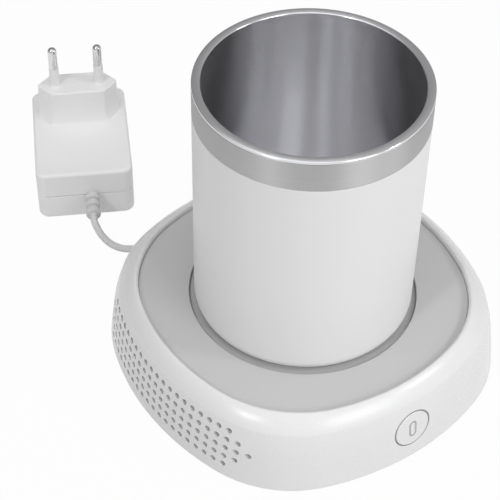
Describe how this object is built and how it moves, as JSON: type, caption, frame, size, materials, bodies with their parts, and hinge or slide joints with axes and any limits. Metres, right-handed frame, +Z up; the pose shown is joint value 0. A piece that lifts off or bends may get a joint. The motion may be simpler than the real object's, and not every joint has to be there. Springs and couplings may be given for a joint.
{
  "type": "self heating mug",
  "caption": "Steel-lined cup without a handle on a rounded-square thermoelectric warming base with a push button, side vents, and a wall adapter on a coiled lead.",
  "frame": {"origin": "on the desk, on the axis of the cup, at the middle of the base", "axes": "+Z up along the cup's axis; the button faces -Y; the vents are in the -X wall; the power socket faces +Y"},
  "size_m": [0.1576, 0.24, 0.1322],
  "materials": {
    "case_white": "fine satin moulding",
    "cup_white": "smooth satin",
    "adapter_white": "satin moulding",
    "tray_grey": "satin moulding",
    "ring_grey": "satin moulding",
    "black_plastic": "moulded",
    "clear_plastic": "translucent",
    "board_green": "lacquered laminate",
    "ceramic_white": "ground ceramic",
    "foam_black": "closed-cell foam",
    "foot_rubber": "matt",
    "seal_rubber": "matt",
    "cord_grey": "smooth matt sheath",
    "lead_red": "smooth sheath",
    "lead_black": "smooth sheath",
    "satin_steel": "satin, turned",
    "bright_steel": "bright",
    "pin_chrome": "polished nickel plate",
    "plate_aluminium": "fine turned",
    "winding_copper": "copper and bronze"
  },
  "bodies": {
    "base": {"top_cover": "case_white", "bottom_cover": "case_white", "foot_1": "foot_rubber", "foot_2": "foot_rubber", "foot_3": "foot_rubber", "foot_4": "foot_rubber", "case_screw_1": "bright_steel", "case_screw_2": "bright_steel", "case_screw_3": "bright_steel", "case_screw_4": "bright_steel", "top_tray": "tray_grey", "well_ring": "ring_grey", "thermal_plate": "plate_aluminium", "peltier_module": "ceramic_white", "insulation_frame": "foam_black", "heat_sink": "plate_aluminium", "fan_screw_1": "bright_steel", "fan_screw_2": "bright_steel", "fan_screw_3": "bright_steel", "fan_screw_4": "bright_steel", "fan_frame": "black_plastic", "fan_bearing": "winding_copper", "fan_stator": "winding_copper", "control_board": "board_green", "power_inductor": "black_plastic", "filter_capacitor": "plate_aluminium", "driver_chip": "black_plastic", "plate_sensor": "ceramic_white", "module_lead_1": "lead_red", "module_lead_2": "lead_black", "button_board": "board_green", "tact_switch": "black_plastic", "status_light": "clear_plastic", "button_lead": "lead_black", "power_socket": "black_plastic"},
    "fan": {"fan_rotor": "black_plastic", "fan_shaft": "bright_steel"},
    "button": {"button_cap": "case_white", "button_mark": "clear_plastic", "switch_plunger": "ring_grey"},
    "mug": {"mug_sleeve": "cup_white", "mug_collar": "satin_steel", "mug_base_disc": "plate_aluminium", "mug_liner": "satin_steel", "mug_seal": "seal_rubber"},
    "lead": {"dc_plug_barrel": "bright_steel", "dc_plug_grip": "black_plastic", "cord_from_plug": "cord_grey", "cord_coil": "cord_grey", "cord_to_adapter": "cord_grey", "adapter_back_shell": "adapter_white", "adapter_front_shell": "adapter_white", "adapter_pin_1": "pin_chrome", "adapter_pin_2": "pin_chrome", "adapter_strain_relief": "cord_grey", "adapter_board": "board_green", "adapter_transformer": "winding_copper", "adapter_capacitor": "black_plastic"}
  },
  "joints": [
    {"name": "fan_spin", "type": "hinge", "parent": "base", "child": "fan", "pos_m": [0, 0, 0.0085], "axis": [0, 0, 1], "continuous": true},
    {"name": "button_press", "type": "slide", "parent": "base", "child": "button", "axis": [0, 1, 0], "range_m": [0, 0.0008], "stiffness_N_per_m": 600},
    {"name": "mug_lift", "type": "slide", "parent": "base", "child": "mug", "axis": [0, 0, 1], "range_m": [0, 0.12]},
    {"name": "plug_pull", "type": "slide", "parent": "base", "child": "lead", "axis": [0, 1, 0], "range_m": [0, 0.012]}
  ]
}
